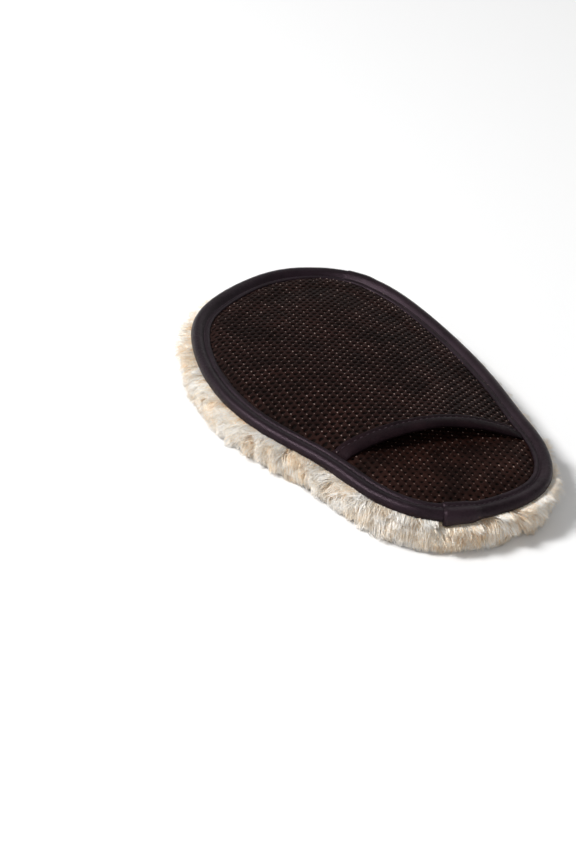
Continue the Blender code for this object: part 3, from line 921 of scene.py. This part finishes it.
TONES = np.array([(0, 1, 2), (0, 0, 1), (1, 1, 2), (1, 2, 2), (2, 2, 2)])   # root to tip: the root colour is painted shade, the tip colour painted highlight


STRAND_FACES = np.array(    # three bands of triangles, then the tip's three
    [face for k in (0, 3, 6) for a, b in ((0, 1), (1, 2), (2, 0))
     for face in ((k + a, k + b, k + b + 3), (k + a, k + b + 3, k + a + 3))]
    + [(9, 10, 12), (10, 11, 12), (11, 9, 12)])
STRAND_SLOTS = [0] * 6 + [1] * 6 + [2] * 9


def strands(name, roots, ways, lengths, tips, widths, tones):
    """Tapered three-sided fibres. Each starts at a root, leaves along ways[0] and
    bends to ways[1], and ends at its tip; tones picks its colours, which run from
    the painted-shade root colour to the painted-highlight tip colour."""
    count = len(roots)
    steps = np.array([0.0, 0.3, 0.6, 0.85])
    thick = np.array([1.0, 0.95, 0.7, 0.4])
    t = steps[None, :, None]
    start, bend = (way[:, None] for way in ways)
    line = roots[:, None] + lengths[:, None, None] * (start * (t - t * t / 2) + bend * t * t / 2)
    end = roots + lengths[:, None] * (ways[0] / 2 + ways[1] / 2)
    line = line + (tips - end)[:, None] * t**2
    direction = unit(np.gradient(line, axis=1))
    side = unit(np.cross(direction, np.array([0.31, 0.22, 0.92])))
    other = np.cross(direction, side)
    rings = []
    for angle in (0, 2 * np.pi / 3, 4 * np.pi / 3):
        rings.append(line + (side * math.cos(angle) + other * math.sin(angle))
                     * (widths[:, None] * thick[None])[..., None])
    body = np.stack(rings, axis=2).reshape(count, -1, 3)
    points = np.concatenate([body, tips[:, None]], axis=1)
    points[..., 2] = np.maximum(points[..., 2], 0.05)
    faces = (STRAND_FACES[None] + points.shape[1] * np.arange(count)[:, None, None]).reshape(-1, 3)
    slots = TONES[tones][:, STRAND_SLOTS].ravel()
    return mesh_object(name, points.reshape(-1, 3), faces, [PILE_ROOT_SHADE, PILE_MIDDLE, PILE_TIP_HIGHLIGHT],
                       slots)


def rim_frame(stations, shares):
    """Points on the pile's bulge, with the ways along, down and out from each."""
    point, normal = at(stations)
    place, way, out = rim_at(shares)
    outwards = np.column_stack([normal, np.zeros(len(point))])
    up = np.array([0, 0, 1.0])
    outset = place[:, :1] + tuck(normal)[:, None]
    root = np.column_stack([point + normal * outset, place[:, 1]])
    return (root, along_edge(normal), outwards * way[:, :1] + up * way[:, 1:],
            outwards * out[:, :1] + up * out[:, 1:])


def rim_ceiling(stations):
    """The highest that fibres may reach, which is lower under the lapped cuff end."""
    covered = (stations > CUFF_END - 3) & (stations < CUFF_END + 24)
    sag = 0.35 * LAP_GROWTH * lap(stations - CUFF_END) + cuff_droop(stations)
    return np.where(covered, TAPE_AXIS - TAPE_REACH - 1.6 - sag, 16.5)


def rim_fibres():
    """Fibres over the pile's bulge, gathered into locks that hang and curl."""
    random = np.random.default_rng(404)
    clumps = PILE_CLUMPS
    station = random.uniform(0, EDGE_LENGTH, clumps)
    share = random.uniform(0.02, 0.92, clumps)
    length = random.uniform(8.0, 12.0, clumps) * (1.15 - 0.45 * share)
    sweep = 0.55 * noise_2d(81, 26, station, share * 12) + random.normal(0, 0.12, clumps)
    lift = np.abs(random.normal(0.2, 0.1, clumps))
    per = int(STRANDS_PER_PIECE * RIM_PIECES / clumps)
    total = clumps * per
    which = np.repeat(np.arange(clumps), per)
    own_station = station[which] + random.normal(0, 2.3, total)
    own_share = np.clip(share[which] + random.normal(0, 0.055, total), 0.0, 1.0)
    root, along, down, off = rim_frame(station, share)
    way = unit(down + along * sweep[:, None] + off * lift[:, None])
    clump_tip = root + way * length[:, None]
    root, along, down, off = rim_frame(own_station, own_share)
    sideways = along * sweep[which][:, None]
    own = length[which] * random.uniform(0.75, 1.12, total)
    jitter = random.normal(0, 0.05, (total, 3))
    start = unit(off * 0.45 + down * 0.8 + sideways * 0.5 + jitter)
    bend = unit(down + sideways + off * lift[which][:, None] * 0.5 + jitter * 1.2)
    end = root + own[:, None] * (start + bend) / 2
    gather = random.uniform(0.3, 0.8, (total, 1))
    tips = end * (1 - gather) + (clump_tip[which] + random.normal(0, 0.35, (total, 3))) * gather
    ceiling = rim_ceiling(own_station)
    root[:, 2] = np.minimum(root[:, 2], ceiling)
    tips[:, 2] = np.clip(tips[:, 2], 0.15, ceiling)
    widths = np.where(random.random(total) < 0.22, random.uniform(0.22, 0.38, total),
                      random.uniform(0.09, 0.17, total))
    mood = 0.5 + 0.5 * noise_2d(87, 11, station, share * 14)
    pick = np.clip(mood[which] * 3.2 + random.normal(0.6, 1.2, total), 0, 4.99)
    tones = np.array([1, 0, 2, 3, 4])[pick.astype(int)]
    order = random.permutation(clumps)
    pieces = []
    for k in range(RIM_PIECES):
        chosen = np.isin(which, order[k::RIM_PIECES])
        pieces.append(strands(f"pile_rim_{k + 1}", root[chosen], (start[chosen], bend[chosen]),
                              own[chosen], tips[chosen], widths[chosen], tones[chosen]))
    return pieces


def under_fibres(name, seed, count):
    """Fibres on the working face, pressed flat and combed towards the cuff."""
    random = np.random.default_rng(seed)
    low, high = PILE[0][:2], PILE[1][:2]
    spots = random.uniform(low, high, (count * 3, 2))
    spots = spots[depth(*spots.T) > 5][:count]
    turn = -math.pi / 2 + 0.9 * noise_2d(91, 30, *spots.T) + random.normal(0, 0.3, len(spots))
    flow = np.column_stack([np.cos(turn), np.sin(turn)])
    own = random.uniform(6, 11, len(spots))
    roots = np.column_stack([spots, np.full(len(spots), 1.6)])
    start = np.column_stack([flow * 0.8, np.full(len(spots), -0.5)])
    bend = np.column_stack([flow, np.full(len(spots), 0.12)])
    tips = roots + own[:, None] * (start + bend) / 2
    tips[:, 2] = random.uniform(0.1, 0.7, len(spots))
    return strands(name, roots, (start, bend), own, tips, random.uniform(0.16, 0.28, len(spots)),
                   random.integers(0, 5, len(spots)))


# ---- camera and light

FLOOR_HALF = 8000
CAMERA_ANGLES = (56.0, -6.0, -33.0)     # tilt, roll and spin in degrees
CAMERA_PLACE = (-0.4174, -0.5798, 0.4453)   # metres, from the top of the binding


def add_camera():
    """The view: above the cuff's left side, looking along the mitt to the head."""
    tilt, roll, spin = (math.radians(a) for a in CAMERA_ANGLES)
    turn = Matrix.Rotation(roll, 3, "Z")
    up = turn @ Vector((0, math.sin(tilt), math.cos(tilt)))
    right = turn @ Vector((1, 0, 0))
    back = up.cross(right)
    x_axis = right * math.cos(spin) - back * math.sin(spin)
    y_axis = right * math.sin(spin) + back * math.cos(spin)
    rotation = Matrix((x_axis, y_axis, up)).to_4x4()
    data = bpy.data.cameras.new("camera")
    data.sensor_width = 36.0
    data.lens = 66.7
    data.shift_x = -0.0027
    camera = bpy.data.objects.new("camera", data)
    place = Vector(CAMERA_PLACE) + Vector((0, 0, (TAPE_AXIS + TAPE_REACH) * MM))
    camera.matrix_world = Matrix.Translation(place) @ rotation
    bpy.context.scene.collection.objects.link(camera)
    bpy.context.scene.camera = camera


def add_light(name, location, size, power, target=(0, 0, 0.01)):
    data = bpy.data.lights.new(name, "AREA")
    data.shape = "DISK"
    data.size = size
    data.energy = power
    lamp = bpy.data.objects.new(name, data)
    lamp.location = location
    way = Vector(target) - Vector(location)
    lamp.rotation_euler = way.to_track_quat("-Z", "Y").to_euler()
    bpy.context.scene.collection.objects.link(lamp)


def add_studio():
    """A pale floor, a pale surround and soft lamps."""
    world = bpy.data.worlds.new("studio")
    world.use_nodes = True
    tree = world.node_tree
    background = tree.nodes["Background"]
    direction = tree.nodes.new("ShaderNodeTexCoord")
    split = tree.nodes.new("ShaderNodeSeparateXYZ")
    ramp = tree.nodes.new("ShaderNodeValToRGB")
    tree.links.new(direction.outputs["Generated"], split.inputs["Vector"])
    tree.links.new(split.outputs["Z"], ramp.inputs["Fac"])
    tree.links.new(ramp.outputs["Color"], background.inputs["Color"])
    horizon, high = ramp.color_ramp.elements
    horizon.position, horizon.color = 0.0, (0.38, 0.38, 0.38, 1)
    high.position, high.color = 0.35, (0.34, 0.34, 0.34, 1)
    ramp.color_ramp.elements.new(0.08).color = (1, 1, 1, 1)
    background.inputs["Strength"].default_value = 0.96
    bpy.context.scene.world = world
    corners = [(x * FLOOR_HALF, y * FLOOR_HALF, 0) for x, y in ((-1, -1), (1, -1), (1, 1), (-1, 1))]
    floor = mesh_object("floor", corners, [(0, 1, 2, 3)], [])
    paper = Nodes("floor_paper", (0.92, 0.92, 0.92), 0.9)
    paper.bump(paper.noise(40), 0.02, 0.001)
    floor.data.materials.append(paper.material)
    add_light("key", (-1.9, 0.7, 2.1), 0.8, 88)
    add_light("front", (-1.8, -1.9, 1.5), 1.4, 9)
    add_light("back", (1.8, 1.6, 1.8), 1.4, 4)
    view = bpy.context.scene.view_settings
    view.view_transform = "Standard"
    view.look = "None"


# ---- assembly

def lift_with_cover(piece):
    """Bake a sewn piece's placement into its mesh and measure how far its points lie
    inside the outline; the piece is not moved or lifted.
    """
    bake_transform(piece)
    co = np.array([v.co for v in piece.data.vertices]) / MM
    inside = depth(co[:, 0], co[:, 1])
    middle = (MOUTH_ENDS[0] + MOUTH_ENDS[1]) / 2


def add(piece, nodes=(), body="mitt"):
    """Put a finished piece on its body, except a cover piece, which is only baked where
    it stands, and hide the nodes it stands for.
    """
    if body == "cover":
        lift_with_cover(piece)
    else:
        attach(piece, body)
    if nodes:
        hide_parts(*nodes)
    return piece


def cut_of(inside, top):
    """Width, length and area, in metres, of the flat cloth that lies over the part of
    the plan that passes a test, at the height given by top."""
    step = 1.5
    x, y = np.meshgrid(np.arange(PILE[0][0], PILE[1][0], step),
                       np.arange(PILE[0][1], PILE[1][1], step), indexing="ij")
    kept, height = inside(x, y), top(x, y)
    across = np.hypot(step, np.diff(height, axis=0)) * kept[1:]
    along = np.hypot(step, np.diff(height, axis=1)) * kept[:, 1:]
    area = (across[:, 1:] * along[1:]).sum() * MM**2
    return (float(across.sum(0).max() * MM), float(along.sum(1).max() * MM)), float(area)


def declare_cloth(inside, top):
    """Measure the flat cut of a sheet that covers what passes a test, at the height
    given by top; the result is not used.
    """
    flat, area = cut_of(inside, top)


def in_backing(x, y):
    return depth(x, y) > BACKING_INSET


def in_palm(x, y):
    return depth(x, y) > PALM_INSET


def in_cover(x, y):
    return (depth(x, y) > COVER_INSET) & (y > mouth_y(x) + MOUTH_GAP)


def level(x, y):
    return np.full(np.shape(x), BACKING[1][2])


PAD_PROFILE = ((12.5, 0), (11.6, 0.4), (13.0, 1.1), (18.6, 1.7))
PALM_HOLE = (0.95, 0.68)  # half width and half height of a pit
COVER_HOLE = (1.25, 0.85)
LOOPED = 0.97             # share of the crests that carry a loop
LEFT_START = HEAD_END - LAP_LENGTH + LAP_SHORTFALL
LEFT_END = CUFF_END + EDGE_LENGTH + LAP_LENGTH - LAP_SHORTFALL

add_studio()
add_camera()

backing = add(layer("pile_backing_cloth", [
    (BACKING_INSET, BACKING[0][2]), (BACKING_INSET - 0.1, BACKING[0][2] + 0.5),
    (BACKING_INSET, BACKING[1][2])], KNIT), ["pile_backing"])
declare_cloth(in_backing, level)
pad_floor = mm_box("sponge_pad")[0][2]
pad = add(layer("sponge_layer", [(inset, pad_floor + rise) for inset, rise in PAD_PROFILE], FOAM),
          ["sponge_pad"])

palm, cells = mesh_cloth("palm_mesh_cloth", in_palm, palm_top, palm_thick, 6, PALM_HOLE,
                         PALM_RIB, 11)
add(palm, ["palm_mesh"])
loops = add(mesh_loops("palm_mesh_loops_painted_glints", cells, palm_top, 12, LOOPED, PALM_LOOP_GLINT, 1.25))
declare_cloth(in_palm, palm_top)
back, cells = mesh_cloth("back_mesh_cloth", in_cover, cover_top, cover_thick, 12, COVER_HOLE,
                         MESH_RIB, 21)
add(back, ["back_mesh"], "cover")
loops = add(mesh_loops("back_mesh_loops_painted_glints", cells, cover_top, 22, LOOPED, LOOP_GLINT, 1.0),
            body="cover")
declare_cloth(in_cover, cover_top)

right = add(edge_tape("edge_tape_right", CUFF_END, HEAD_END, True, TAPE_RIGHT, 1),
            ["edge_binding_right"])
left = add(edge_tape("edge_tape_left", LEFT_START, LEFT_END, False, TAPE, 2),
           ["edge_binding_left"])
seams = [add(edge_stitches("edge_stitches", True), ["edge_thread"]),
         add(edge_stitches("edge_bobbin_stitches", False), ["edge_bobbin_thread"])]
hem = add(mouth_tape("mouth_tape"), ["mouth_binding"], "cover")
seams = [add(mouth_stitches("mouth_stitches", True), ["mouth_thread"], "cover"),
         add(mouth_stitches("mouth_bobbin_stitches", False), ["mouth_bobbin_thread"],
             "cover")]

body = add(pile_body("pile_body"), ["wool_pile"])
for tuft in rim_fibres():
    add(tuft)
add(under_fibres("pile_face", 505, FACE_STRANDS))
